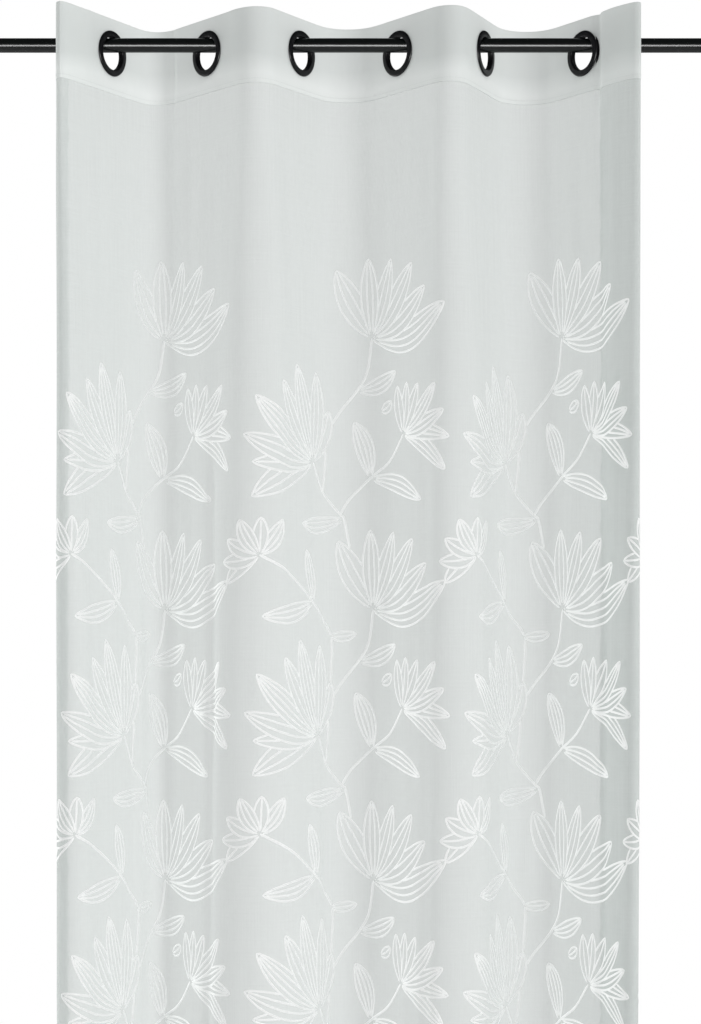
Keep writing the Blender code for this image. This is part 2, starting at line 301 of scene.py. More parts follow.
class Cloth:
    """The hung cloth's front surface: points and normals on a grid of flat places."""

    def __init__(self, across, down):
        self.across, self.down = across, down
        rows, angles = [], []
        for drop in down:
            x, y = plan_curve(drop * MM)
            px = np.interp(across * MM, PLAN_PLACES, x)
            py = np.interp(across * MM, PLAN_PLACES, y)
            slope_x, slope_y = np.gradient(x, PLAN_STEP), np.gradient(y, PLAN_STEP)
            tangent_x = np.interp(across * MM, PLAN_PLACES, slope_x)
            tangent_y = np.interp(across * MM, PLAN_PLACES, slope_y)
            rows.append(np.stack([px, py, np.full(len(across), TOP_EDGE - drop * MM)], axis=1))
            angles.append(np.stack([tangent_y, -tangent_x, np.zeros(len(across))], axis=1))
        points = np.array(rows)
        fronts = np.array(angles)
        fronts /= np.linalg.norm(fronts, axis=2, keepdims=True)
        lift = relief(across[None, :], down[:, None]) * MM
        self.points = points + fronts * lift[:, :, None]
        along = np.gradient(self.points, axis=1)
        below = np.gradient(self.points, axis=0)
        normals = np.cross(below, along)
        self.normals = normals / np.linalg.norm(normals, axis=2, keepdims=True)

    def place(self, across, down, height):
        """Points of the hung cloth at flat places, lifted off its front, all in millimetres."""
        column = np.interp(across, self.across, np.arange(len(self.across)))
        row = np.interp(down, self.down, np.arange(len(self.down)))
        c0 = np.minimum(column.astype(int), len(self.across) - 2)
        r0 = np.minimum(row.astype(int), len(self.down) - 2)
        cs, rs = (column - c0)[..., None], (row - r0)[..., None]

        def blend(grid):
            upper = grid[r0, c0] * (1 - cs) + grid[r0, c0 + 1] * cs
            lower = grid[r0 + 1, c0] * (1 - cs) + grid[r0 + 1, c0 + 1] * cs
            return upper * (1 - rs) + lower * rs

        return blend(self.points) + blend(self.normals) * (np.asarray(height) * MM)[..., None]


def grid_mesh(name, points, across, down):
    """A sheet of quads over a grid of points, with the flat cloth as its UV map."""
    count_down, count_across = points.shape[:2]
    index = np.arange(count_down * count_across).reshape(count_down, count_across)
    faces = np.stack(
        [index[:-1, :-1], index[1:, :-1], index[1:, 1:], index[:-1, 1:]], axis=2
    ).reshape(-1, 4)
    u, v = np.meshgrid(across / (CUT_WIDTH / MM), 1.0 - down / (CUT_DROP / MM))
    return mesh_from_arrays(name, points.reshape(-1, 3), faces, np.stack([u, v], 2).reshape(-1, 2))


def mesh_from_arrays(name, points, faces, uv=None):
    mesh = bpy.data.meshes.new(name)
    mesh.from_pydata(points.tolist(), [], faces.tolist())
    if uv is not None:
        layer = mesh.uv_layers.new(name="Flat cloth")
        layer.data.foreach_set("uv", uv[faces.reshape(-1)].reshape(-1).astype(np.float32))
    mesh.shade_smooth()
    mesh.update()
    return mesh


def new_piece(name, mesh, material):
    piece = bpy.data.objects.new(name, mesh)
    bpy.context.scene.collection.objects.link(piece)
    if material is not None:
        piece.data.materials.append(material)
    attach(piece, "root")
    return piece


# Materials


class Nodes:
    """Small helper that adds and links shader nodes of one material."""

    def __init__(self, name):
        self.material = bpy.data.materials.new(name)
        self.material.use_nodes = True
        self.tree = self.material.node_tree
        self.tree.nodes.clear()
        self.output = self.add("ShaderNodeOutputMaterial")

    def add(self, kind, values=None, **settings):
        node = self.tree.nodes.new(kind)
        for key, value in settings.items():
            setattr(node, key, value)
        for key, value in (values or {}).items():
            if isinstance(value, bpy.types.NodeSocket):
                self.tree.links.new(value, node.inputs[key])
            else:
                node.inputs[key].default_value = value
        return node

    def math(self, operation, first, second=0.5, third=0.0):
        return self.add(
            "ShaderNodeMath", {0: first, 1: second, 2: third}, operation=operation
        ).outputs[0]

    def noise(self, vector, scale, detail=2.0, roughness=0.5):
        return self.add(
            "ShaderNodeTexNoise",
            {"Vector": vector, "Scale": scale, "Detail": detail, "Roughness": roughness},
            noise_dimensions="3D",
        ).outputs["Fac"]

    def scaled(self, vector, scale):
        return self.add("ShaderNodeMapping", {"Vector": vector, "Scale": scale}).outputs[0]

    def blend(self, share, first, second):
        return self.add(
            "ShaderNodeMix", {"Factor": share, "A": first, "B": second}, data_type="RGBA"
        ).outputs["Result"]

    def spread(self, value, low, high, new_low, new_high):
        return self.add(
            "ShaderNodeMapRange",
            {"Value": value, "From Min": low, "From Max": high, "To Min": new_low, "To Max": new_high},
        ).outputs[0]


def flat_millimetres(nodes):
    uv = nodes.add("ShaderNodeUVMap", uv_map="Flat cloth").outputs[0]
    return nodes.scaled(uv, (CUT_WIDTH / MM, CUT_DROP / MM, 1.0))


def slub_and_weave(nodes, flat):
    """Uneven thread thickness both ways, from 0 to 1, and the weave of single threads."""
    warp = nodes.noise(nodes.scaled(flat, (0.75, 0.012, 1.0)), 1.0, 3.0, 0.6)
    weft = nodes.noise(nodes.scaled(flat, (0.020, 0.62, 1.0)), 1.0, 3.0, 0.6)
    cloud = nodes.noise(nodes.scaled(flat, (0.030, 0.022, 1.0)), 1.0, 3.0, 0.55)
    streak = nodes.noise(nodes.scaled(flat, (0.16, 0.0035, 1.0)), 1.0, 2.0, 0.5)
    slub = nodes.math("ADD", nodes.math("MULTIPLY", warp, 0.34), nodes.math("MULTIPLY", weft, 0.26))
    slub = nodes.math("ADD", slub, nodes.math("MULTIPLY", cloud, 0.22))
    slub = nodes.math("ADD", slub, nodes.math("MULTIPLY", streak, 0.18))
    split = nodes.add("ShaderNodeSeparateXYZ", {0: flat})
    threads = []
    for axis in (0, 1):
        phase = nodes.math("MULTIPLY", split.outputs[axis], 2 * math.pi / THREAD_PITCH)
        threads.append(nodes.math("MULTIPLY_ADD", nodes.math("SINE", phase), 0.5, 0.5))
    weave = nodes.math("MAXIMUM", threads[0], threads[1])
    return slub, weave


THREAD_PITCH = 0.62
VOILE_COLOUR = (0.655, 0.685, 0.673, 1.0)
VOILE_DARK = (0.594, 0.623, 0.612, 1.0)
BAND_COLOUR = (0.690, 0.716, 0.705, 1.0)
BAND_DARK = (0.655, 0.680, 0.669, 1.0)
# Painted light: the band's lower colours are lighter than the stiffened top, standing in for the
# backdrop's light shining through the cloth.
BAND_LOW_PAINTED_GLOW = (0.800, 0.822, 0.812, 1.0)
BAND_LOW_PAINTED_GLOW_DARK = (0.762, 0.784, 0.774, 1.0)
# The stiffening inside the band thins out between these drops, and its edge wanders. Below that edge
# the band is painted lighter, as painted light coming through the thinner cloth.
STIFF_END_AND_GLOW = (56.0, 78.0)
STIFF_AND_GLOW_WANDER = 26.0
# The embroidery thread's colour, and a darker copy that is painted into its twist's grooves as painted
# shade.
THREAD_COLOUR = (0.920, 0.930, 0.925, 1.0)
THREAD_GROOVE_SHADE = (0.875, 0.887, 0.882, 1.0)
THREAD_THROUGH_LIGHT = 0.10
VOILE_OPACITY = (0.60, 0.89)
HEM_OPACITY = (0.20, 0.38)
VOILE_THROUGH_LIGHT = 0.48
BAND_THROUGH_LIGHT = 0.58


def voile_material(name, opacity_range):
    nodes = Nodes(name)
    flat = flat_millimetres(nodes)
    slub, weave = slub_and_weave(nodes, flat)
    colour = nodes.blend(slub, VOILE_DARK, VOILE_COLOUR)
    bump_height = nodes.math("MULTIPLY_ADD", weave, 0.4, slub)
    bump = nodes.add("ShaderNodeBump", {"Strength": 0.35, "Distance": 0.0004, "Height": bump_height})
    front = nodes.add(
        "ShaderNodeBsdfPrincipled",
        {"Base Color": colour, "Roughness": 0.82, "Specular IOR Level": 0.10,
         "Sheen Weight": 0.18, "Sheen Roughness": 0.45, "Normal": bump.outputs[0]},
    )
    through = nodes.add("ShaderNodeBsdfTranslucent", {"Color": colour, "Normal": bump.outputs[0]})
    cloth = nodes.add("ShaderNodeMixShader", {0: VOILE_THROUGH_LIGHT, 1: front.outputs[0],
                                              2: through.outputs[0]})
    dense = nodes.math("MULTIPLY_ADD", weave, 0.45, nodes.math("MULTIPLY", slub, 0.75))
    opacity = nodes.spread(dense, 0.25, 0.95, *opacity_range)
    clear = nodes.add("ShaderNodeBsdfTransparent")
    sheer = nodes.add("ShaderNodeMixShader", {0: opacity, 1: clear.outputs[0], 2: cloth.outputs[0]})
    nodes.tree.links.new(sheer.outputs[0], nodes.output.inputs["Surface"])
    return nodes.material


def band_material():
    nodes = Nodes("Stiffened heading cloth")
    flat = flat_millimetres(nodes)
    slub, weave = slub_and_weave(nodes, flat)
    stiff = nodes.blend(slub, BAND_DARK, BAND_COLOUR)
    # Painted light: below the stiffening the band's colour turns lighter, standing in for light coming
    # through the thinner cloth.
    low = nodes.blend(slub, BAND_LOW_PAINTED_GLOW_DARK, BAND_LOW_PAINTED_GLOW)
    from_hem = nodes.add("ShaderNodeSeparateXYZ", {0: flat}).outputs[1]
    uneven = nodes.noise(nodes.scaled(flat, (0.011, 0.012, 1.0)), 1.0, 2.0, 0.5)
    edge = nodes.math("MULTIPLY_ADD", uneven, STIFF_AND_GLOW_WANDER, from_hem)
    top = CUT_DROP / MM + STIFF_AND_GLOW_WANDER / 2
    share = nodes.spread(edge, top - STIFF_END_AND_GLOW[0], top - STIFF_END_AND_GLOW[1], 0.0, 1.0)
    colour = nodes.blend(share, stiff, low)
    height = nodes.math("MULTIPLY_ADD", weave, 0.5, slub)
    bump = nodes.add("ShaderNodeBump", {"Strength": 0.4, "Distance": 0.0004, "Height": height})
    rough = nodes.spread(slub, 0.0, 1.0, 0.92, 0.78)
    cloth = nodes.add(
        "ShaderNodeBsdfPrincipled",
        {"Base Color": colour, "Roughness": rough, "Specular IOR Level": 0.10,
         "Sheen Weight": 0.12, "Sheen Roughness": 0.5, "Normal": bump.outputs[0]},
    )
    through = nodes.add("ShaderNodeBsdfTranslucent", {"Color": colour, "Normal": bump.outputs[0]})
    lit = nodes.add("ShaderNodeMixShader", {0: BAND_THROUGH_LIGHT, 1: cloth.outputs[0],
                                            2: through.outputs[0]})
    nodes.tree.links.new(lit.outputs[0], nodes.output.inputs["Surface"])
    return nodes.material


def thread_material(name, groove_shade, light):
    nodes = Nodes(name)
    uv = nodes.add("ShaderNodeUVMap", uv_map="Flat cloth").outputs[0]
    twist = nodes.add("ShaderNodeTexWave", {"Vector": nodes.scaled(uv, (THREAD_TWISTS, 0.7, 1.0)),
                                            "Scale": 1.0, "Distortion": 0.6, "Detail": 1.0},
                      wave_type="BANDS", bands_direction="DIAGONAL").outputs["Fac"]
    # The twist's grooves are painted darker: painted shade, beside the real bump of the twist.
    shade = nodes.blend(twist, groove_shade, light)
    bump = nodes.add("ShaderNodeBump", {"Strength": 0.3, "Distance": 0.0002, "Height": twist})
    thread = nodes.add(
        "ShaderNodeBsdfPrincipled",
        {"Base Color": shade, "Roughness": 0.55, "Specular IOR Level": 0.4,
         "Sheen Weight": 0.15, "Normal": bump.outputs[0]},
    )
    through = nodes.add("ShaderNodeBsdfTranslucent", {"Color": shade})
    mixed = nodes.add("ShaderNodeMixShader", {0: THREAD_THROUGH_LIGHT, 1: thread.outputs[0],
                                              2: through.outputs[0]})
    nodes.tree.links.new(mixed.outputs[0], nodes.output.inputs["Surface"])
    return nodes.material


def satin_material(name, colour, roughness, grain, metallic, specular):
    """Satin black: a fine even grain in its gloss, with the faintest unevenness of colour."""
    nodes = Nodes(name)
    place = nodes.add("ShaderNodeTexCoord").outputs["Object"]
    fine = nodes.noise(place, grain, 4.0, 0.6)
    broad = nodes.noise(place, 60.0, 2.0, 0.5)
    lighter = tuple(min(1.0, part * 1.5) for part in colour)
    shade = nodes.blend(broad, (*colour, 1.0), (*lighter, 1.0))
    rough = nodes.spread(fine, 0.3, 0.7, roughness - 0.06, roughness + 0.08)
    bump = nodes.add("ShaderNodeBump", {"Strength": 0.12, "Distance": 0.0002, "Height": fine})
    surface = nodes.add(
        "ShaderNodeBsdfPrincipled",
        {"Base Color": shade, "Roughness": rough, "Metallic": metallic,
         "Specular IOR Level": specular, "Normal": bump.outputs[0]},
    )
    nodes.tree.links.new(surface.outputs[0], nodes.output.inputs["Surface"])
    return nodes.material


# Embroidery, drawn flat in millimetres from each large flower's base

# A petal or leaf: the part of the plant it belongs to, where it starts, which way it points
# (degrees from straight up, clockwise), how long and wide it is, how far it leans over to one
# side, and how many veins it has. Those further down the list lie behind the ones above them.
Petal = namedtuple("Petal", "across down points length width lean veins")

LARGE_FLOWER = (
    Petal(0, 0, -2, 100, 25, 0, 2),
    Petal(0, 0, 21, 102, 26, 2, 2),
    Petal(0, 0, -28, 97, 31, -3, 2),
    Petal(0, 0, 43, 116, 31, 4, 2),
    Petal(0, 0, 63, 118, 30, 9, 2),
    Petal(0, 0, 77, 140, 36, 20, 3),
    Petal(0, 0, 101, 42, 14, 0, 1),
)
SIDE_FLOWER = (
    Petal(-87, 157, 3, 112, 27, 4, 2),
    Petal(-87, 157, -18, 124, 30, -2, 3),
    Petal(-87, 157, 24, 72, 20, 5, 1),
    Petal(-87, 157, -36, 118, 28, -4, 2),
    Petal(-87, 157, -55, 131, 30, -9, 3),
    Petal(-87, 157, -77, 126, 29, -8, 2),
    Petal(-87, 157, -93, 112, 22, -2, 1),
    Petal(-87, 157, -113, 122, 34, 8, 2),
)
SMALL_FLOWER = (
    Petal(58, 124, -12, 62, 18, -2, 1),
    Petal(58, 124, 7, 64, 17, 1, 1),
    Petal(58, 124, 28, 68, 18, 2, 1),
    Petal(58, 124, 48, 86, 19, 6, 2),
    Petal(58, 124, 72, 80, 20, 5, 2),
    Petal(58, 124, 96, 84, 20, -5, 2),
    Petal(58, 124, 122, 92, 19, -9, 2),
)
LOOSE_FLOWER = (
    Petal(-190, -63, -31, 50, 20, -3, 2),
    Petal(-190, -63, 3, 46, 18, 0, 1),
    Petal(-190, -63, 36, 54, 19, 3, 2),
    Petal(-190, -63, -66, 48, 18, -4, 1),
    Petal(-190, -63, -99, 52, 18, -3, 1),
    Petal(-190, -63, -128, 56, 18, 4, 1),
)
LEAVES = (
    Petal(-21, 65, 72, 66, 20, 5, 2),
    Petal(-3, 175, -17, 74, 24, 4, 3),
    Petal(-3, 175, 108, 104, 21, -6, 2),
    Petal(-38, 225, -97, 78, 19, -5, 2),
    Petal(14, 92, 60, 22, 13, 2, 1),
)
UPPER_LEAVES = (
    Petal(-94, -8, -12, 66, 20, 3, 2),
    Petal(-94, -8, -102, 95, 22, -5, 2),
    Petal(-59, 33, 85, 36, 12, 2, 1),
)

Stem = namedtuple("Stem", "points")
STEMS = (
    Stem(((0, 0), (-7, 41), (-21, 65), (-45, 95), (-62, 125), (-63, 151), (-68, 193))),
    Stem(((-87, 157), (-75, 180), (-68, 193), (-43, 220), (-38, 225), (-31, 262))),
    Stem(((58, 124), (30, 155), (-3, 175), (-30, 200), (-43, 220))),
)
UPPER_STEMS = (
    Stem(((-190, -63), (-140, -38), (-94, -8), (-75, 10), (-57, 33), (-57, 75), (-62, 125))),
)

REPEAT_ACROSS = 370
REPEAT_DOWN = 339
FIRST_ACROSS = -16
FIRST_DOWN = 389
COLUMNS_OF_FLOWERS = 5
ROWS_OF_FLOWERS = 7

LINE_WIDTH = 2.8
STEM_WIDTH = 3.6
LINE_HEIGHT = 0.45
LINE_LIFT = 0.10
STROKE_STEP = 3.6
EDGE_KEEP = 4.0
THREAD_TWISTS = 60


# How slowly a petal widens from its base, and how quickly it closes to its tip
PETAL_BASE = 0.90
PETAL_TIP = 0.82


def petal_frame(petal):
    """A petal's curved middle line and the direction across it, as functions of the way along."""
    angle = math.radians(petal.points)
    forward = np.array([math.sin(angle), -math.cos(angle)])
    aside = np.array([math.cos(angle), math.sin(angle)])

    def middle(share):
        share = np.asarray(share, float)[:, None]
        start = np.array([petal.across, petal.down], float)
        sag = petal.lean * np.sin(math.pi * share)
        return start + forward * petal.length * share + aside * sag

    def across(share):
        share = np.asarray(share, float)[:, None]
        turn = petal.lean * math.pi * np.cos(math.pi * share) / petal.length
        direction = aside - forward * turn
        return direction / np.linalg.norm(direction, axis=1, keepdims=True)

    return middle, across


def half_width(petal, share):
    shape = np.power(share, PETAL_BASE) * np.power(np.clip(1.0 - share, 0.0, 1.0), PETAL_TIP)
    widest = PETAL_BASE / (PETAL_BASE + PETAL_TIP)
    return petal.width / 2 * shape / (widest ** PETAL_BASE * (1.0 - widest) ** PETAL_TIP)


def petal_outline(petal):
    middle, across = petal_frame(petal)
    share = np.concatenate([np.linspace(0.05, 0.9, 22), np.linspace(0.93, 1.0, 4)])
    width = half_width(petal, share)[:, None]
    right = middle(share) + across(share) * width
    left = middle(share) - across(share) * width
    return left, right


# Where the veins run between a petal's middle line (0) and its edges (-1 and 1)
VEIN_PLACES = {0: (), 1: (0.0,), 2: (-0.34, 0.34), 3: (-0.52, 0.0, 0.52)}


def petal_lines(petal):
    """The stitched lines of a petal: two edges, then the veins between them."""
    middle, across = petal_frame(petal)
    left, right = petal_outline(petal)
    lines = [left, right]
    for place in VEIN_PLACES[petal.veins]:
        share = np.linspace(0.08, 0.96, 22)
        width = half_width(petal, share)[:, None]
        lines.append(middle(share) + across(share) * width * place)
    return lines


def inside_outline(points, outline):
    """Which points lie inside a closed outline."""
    x, y = points[:, 0], points[:, 1]
    found = np.zeros(len(points), bool)
    x1, y1 = outline[:, 0], outline[:, 1]
    x2, y2 = np.roll(x1, -1), np.roll(y1, -1)
    for ax, ay, bx, by in zip(x1, y1, x2, y2):
        if ay == by:
            continue
        crosses = ((ay > y) != (by > y)) & (x < (bx - ax) * (y - ay) / (by - ay) + ax)
        found ^= crosses
    return found


def resample(line, step):
    """The same line in even steps."""
    lengths = np.linalg.norm(np.diff(line, axis=0), axis=1)
    walked = np.concatenate([[0.0], np.cumsum(lengths)])
    if walked[-1] < step * 0.6:
        return None
    count = max(int(round(walked[-1] / step)), 1) + 1
    wanted = np.linspace(0.0, walked[-1], count)
    return np.stack([np.interp(wanted, walked, line[:, 0]), np.interp(wanted, walked, line[:, 1])], 1)


def visible_runs(line, hidden):
    """The stretches of a line outside what hides it."""
    runs, current = [], []
    for point, covered in zip(line, hidden):
        if covered:
            if len(current) > 1:
                runs.append(np.array(current))
            current = []
        else:
            current.append(point)
    if len(current) > 1:
        runs.append(np.array(current))
    return runs


def flower_lines(petals, node_size):
    """All lines of a flower, front petals first, each hiding what lies behind it."""
    lines = []
    outlines = []
    for petal in petals:
        for line in petal_lines(petal):
            fine = resample(line, 1.2)
            if fine is None:
                continue
            near_base = np.linalg.norm(fine - [petal.across, petal.down], axis=1) < node_size
            hidden = np.zeros(len(fine), bool)
            for outline in outlines:
                hidden |= inside_outline(fine, outline)
            lines += visible_runs(fine, hidden & ~near_base)
        left, right = petal_outline(petal)
        outlines.append(np.concatenate([left, right[::-1]]))
    return lines


def smooth_path(points):
    """A smooth line through a few points."""
    points = np.array(points, float)
    padded = np.concatenate([[2 * points[0] - points[1]], points, [2 * points[-1] - points[-2]]])
    path = []
    for p0, p1, p2, p3 in zip(padded, padded[1:], padded[2:], padded[3:]):
        for share in np.linspace(0.0, 1.0, 9)[:-1]:
            path.append(0.5 * (
                2 * p1 + (p2 - p0) * share
                + (2 * p0 - 5 * p1 + 4 * p2 - p3) * share ** 2
                + (3 * p1 - p0 - 3 * p2 + p3) * share ** 3
            ))
    path.append(points[-1])
    return np.array(path)


def flower_template(with_upper):
    """The lines of one repeat, each with its width."""
    groups = [LARGE_FLOWER, SIDE_FLOWER, SMALL_FLOWER] + [(leaf,) for leaf in LEAVES]
    stems = list(STEMS)
    if with_upper:
        groups += [LOOSE_FLOWER] + [(leaf,) for leaf in UPPER_LEAVES]
        stems += list(UPPER_STEMS)
    strokes = []
    covers = []
    for group in groups:
        node_size = 4
        strokes += [(line, LINE_WIDTH) for line in flower_lines(group, node_size)]
        for petal in group:
            left, right = petal_outline(petal)
            covers.append(np.concatenate([left, right[::-1]]))
    for stem in stems:
        path = resample(smooth_path(stem.points), 1.2)
        hidden = np.zeros(len(path), bool)
        for cover in covers:
            hidden |= inside_outline(path, cover)
        strokes += [(line, STEM_WIDTH) for line in visible_runs(path, hidden)]
    return strokes


def in_cloth(line):
    low, high = EDGE_KEEP, CUT_WIDTH / MM - EDGE_KEEP
    return (line[:, 0] < low) | (line[:, 0] > high) | (line[:, 1] > CUT_DROP / MM - EDGE_KEEP)


class Ribbons:
    """Half-round raised lines on the cloth, gathered into one mesh."""

    def __init__(self, cloth):
        self.cloth = cloth
        self.points, self.faces, self.uv = [], [], []
        self.count = 0

    def add(self, line, width, height=LINE_HEIGHT, step=STROKE_STEP):
        line = resample(line, step)
        if line is None:
            return
        forward = np.gradient(line, axis=0)
        forward /= np.maximum(np.linalg.norm(forward, axis=1, keepdims=True), NOTHING)
        aside = np.stack([-forward[:, 1], forward[:, 0]], axis=1)
        taper = np.ones(len(line))
        taper[0] = taper[-1] = 0.45
        rows = []
        for offset, lift in ((-0.5, 0.0), (-0.27, 0.85), (0.27, 0.85), (0.5, 0.0)):
            spot = line + aside * (offset * width * taper)[:, None]
            rows.append(self.cloth.place(spot[:, 0], spot[:, 1], LINE_LIFT + lift * height * taper))
        points = np.stack(rows, axis=1)
        walked = np.arange(len(line)) * step
        across = np.array([0.0, 0.33, 0.67, 1.0])
        uv = np.stack(np.broadcast_arrays((walked / 200.0)[:, None], across[None, :]), axis=2)
        index = self.count + np.arange(len(line) * 4).reshape(len(line), 4)
        faces = np.stack([index[:-1, :-1], index[1:, :-1], index[1:, 1:], index[:-1, 1:]], axis=2)
        self.points.append(points.reshape(-1, 3))
        self.faces.append(faces.reshape(-1, 4))
        self.uv.append(uv.reshape(-1, 2))
        self.count += len(line) * 4

    def mesh(self, name):
        return mesh_from_arrays(
            name, np.concatenate(self.points), np.concatenate(self.faces), np.concatenate(self.uv)
        )


# Building the pieces


def make_voile(material):
    fine = [crease.across for crease in CREASES if abs(crease.height) > 1.5]
    across = cloth_columns(fine)
    body = np.linspace(HEADING_DEPTH / MM, CUT_DROP / MM,
                       int(round((CUT_DROP - HEADING_DEPTH) / MM / ROW_STEP)) + 1)
    down = np.concatenate([[HEADING_DEPTH / MM - TUCK], body])
    cloth = Cloth(across, down)
    mesh = grid_mesh("voile_panel_sheer", cloth.points, across, down)
    piece = new_piece("voile_panel_sheer", mesh, material)
    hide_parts("voile_panel")
    return piece, cloth


HEM_GAP = 0.7


def make_hems(cloth, material):
    """The turned-in layers behind the two sides and the bottom, as three pieces of the same cloth."""
    last = CUT_WIDTH / MM
    meshes = []
    sides = [np.linspace(0.6, SIDE_HEM / MM, 7), np.linspace(last - SIDE_HEM / MM, last - 0.6, 7)]
    down = cloth.down[1:]
    for across in sides:
        u, v = np.meshgrid(across, down)
        meshes.append((cloth.place(u, v, np.full(u.shape, -HEM_GAP)), across, down))
    down = np.linspace((CUT_DROP - BOTTOM_HEM) / MM, CUT_DROP / MM - 0.6, 11)
    across = cloth.across[2:-2]
    u, v = np.meshgrid(across, down)
    meshes.append((cloth.place(u, v, np.full(u.shape, -2 * HEM_GAP)), across, down))
    pieces = []
    for name, (points, across, down) in zip(("left", "right", "bottom"), meshes):
        mesh = grid_mesh("hem_layer_" + name, points, across, down)
        pieces.append(new_piece("hem_layer_" + name, mesh, material))
    return pieces


def eyelet_pose(index):
    eyelet = EYELETS[index]
    return (eyelet.along, 0.0, -EYELET_DROP), (math.pi / 2, 0.0, math.radians(eyelet.slant))


def keep_front_and_edges(mesh):
    """Leave out a thick sheet's back face, so that light passes one layer of cloth."""
    shape = bmesh.new()
    shape.from_mesh(mesh)
    back = [face for face in shape.faces if face.material_index == 1]
    bmesh.ops.delete(shape, geom=back, context="FACES")
    shape.to_mesh(mesh)
    shape.free()
    mesh.materials.pop(index=1)


def make_band(material):
    across = cloth_columns([crease.across for crease in CREASES if crease.top < 90])
    down = np.linspace(0.0, HEADING_DEPTH / MM, int(round(HEADING_DEPTH / MM / BAND_ROW_STEP)) + 1)
    cloth = Cloth(across, down)
    mesh = grid_mesh("heading_band_cloth", cloth.points, across, down)
    band = new_piece("heading_band_cloth", mesh, material)
    thick = band.modifiers.new("Thickness", "SOLIDIFY")
    thick.thickness = 1.0 * MM
    thick.offset = 0.0
    thick.use_even_offset = True
    thick.material_offset = 1
    band.data.materials.append(material)
    cutters = []
    for index in range(len(EYELETS)):
        disc = bmesh.new()
        radius = EYELET_BORE + BARREL_WALL + 0.8 * MM
        bmesh.ops.create_cone(disc, cap_ends=True, segments=48, radius1=radius, radius2=radius,
                              depth=20 * MM)
        cutter_mesh = bpy.data.meshes.new("hole_cutter_%d" % index)
        disc.to_mesh(cutter_mesh)
        disc.free()
        cutter = bpy.data.objects.new("hole_cutter_%d" % index, cutter_mesh)
        bpy.context.scene.collection.objects.link(cutter)
        cutter.location, cutter.rotation_euler = eyelet_pose(index)
        cut = band.modifiers.new("Hole %d" % index, "BOOLEAN")
        cut.operation = "DIFFERENCE"
        cut.solver = "EXACT"
        cut.object = cutter
        cutters.append(cutter)
    bpy.context.view_layer.update()
    finished = bpy.data.meshes.new_from_object(
        band.evaluated_get(bpy.context.evaluated_depsgraph_get())
    )
    band.modifiers.clear()
    keep_front_and_edges(finished)
    band.data = finished
    band.data.shade_smooth()
    band.data.set_sharp_from_angle(angle=math.radians(40))
    for cutter in cutters:
        bpy.data.objects.remove(cutter, do_unlink=True)
    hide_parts("heading_band")
    return band, cloth


def turned_mesh(name, profile, steps, closed):
    """Turn a profile of (radius, height) points about the Z axis."""
    points, faces = [], []
    count = len(profile)
    for step in range(steps):
        angle = 2 * math.pi * step / steps
        points += [(r * math.cos(angle), r * math.sin(angle), h) for r, h in profile]
    for step in range(steps):
        here, there = step * count, (step + 1) % steps * count
        for index in range(count if closed else count - 1):
            after = (index + 1) % count
            faces.append((here + index, there + index, there + after, here + after))
    mesh = bpy.data.meshes.new(name)
    mesh.from_pydata(points, [], faces)
    shape = bmesh.new()
    shape.from_mesh(mesh)
    bmesh.ops.remove_doubles(shape, verts=shape.verts, dist=0.000001)
    bmesh.ops.recalc_face_normals(shape, faces=shape.faces)
    shape.to_mesh(mesh)
    shape.free()
    mesh.shade_smooth()
    mesh.set_sharp_from_angle(angle=math.radians(38))
    return mesh


def arc_points(centre, radius, start, end, steps):
    angles = [math.radians(start + (end - start) * step / steps) for step in range(steps + 1)]
    return [(centre[0] + radius * math.cos(a), centre[1] + radius * math.sin(a)) for a in angles]


def make_eyelets(material):
    """Each eyelet's front with its barrel, and the ring that clips on behind."""
    seat = HEADING_THICKNESS / 2 + SEAT_GAP
    crown = seat + FLANGE_HEIGHT
    front = [(EYELET_BORE, -seat - BACK_HEIGHT - 0.4 * MM)]
    front += arc_points((EYELET_BORE + 1.6 * MM, crown - 1.6 * MM), 1.6 * MM, 180, 90, 8)
    front += arc_points((EYELET_RIM - 2.0 * MM, crown - 2.0 * MM), 2.0 * MM, 90, 0, 8)
    front += [(EYELET_RIM, seat + 0.2 * MM), (EYELET_RIM - 0.2 * MM, seat)]
    front += [(EYELET_BORE + BARREL_WALL, seat)]
    front += [(EYELET_BORE + BARREL_WALL, -seat - BACK_HEIGHT - 0.4 * MM)]
    inner = EYELET_BORE + BARREL_WALL + SEAT_GAP
    back = [(EYELET_RIM, -seat)]
    back += arc_points((EYELET_RIM - 1.0 * MM, -seat - BACK_HEIGHT + 1.0 * MM), 1.0 * MM, 0, -90, 5)
    back += [(inner + 0.3 * MM, -seat - BACK_HEIGHT), (inner, -seat - BACK_HEIGHT + 0.3 * MM)]
    back += [(inner, -seat)]
    pieces = []
    for index in range(len(EYELETS)):
        for side, profile in (("front", front), ("back", back)):
            name = "eyelet_%s_%d" % (side, index)
            mesh = turned_mesh(name + "_turned", profile, 72, closed=True)
            piece = bpy.data.objects.new(name + "_turned", mesh)
            bpy.context.scene.collection.objects.link(piece)
            piece.location, piece.rotation_euler = eyelet_pose(index)
            mesh.materials.append(material)
            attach(piece, "root")
            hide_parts(name)
            pieces.append(piece)
    return pieces


def make_rod(material):
    half = ROD_LENGTH / 2
    profile = [(0.0, -half), (ROD_RADIUS - 0.4 * MM, -half), (ROD_RADIUS, -half + 0.4 * MM),
               (ROD_RADIUS, half - 0.4 * MM), (ROD_RADIUS - 0.4 * MM, half), (0.0, half)]
    rod = bpy.data.objects.new("rod_bar", turned_mesh("rod_bar", profile, 96, closed=False))
    bpy.context.scene.collection.objects.link(rod)
    rod.rotation_euler = (0.0, math.pi / 2, 0.0)
    rod.data.materials.append(material)
    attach(rod, "root")
    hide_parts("rod")
    return rod


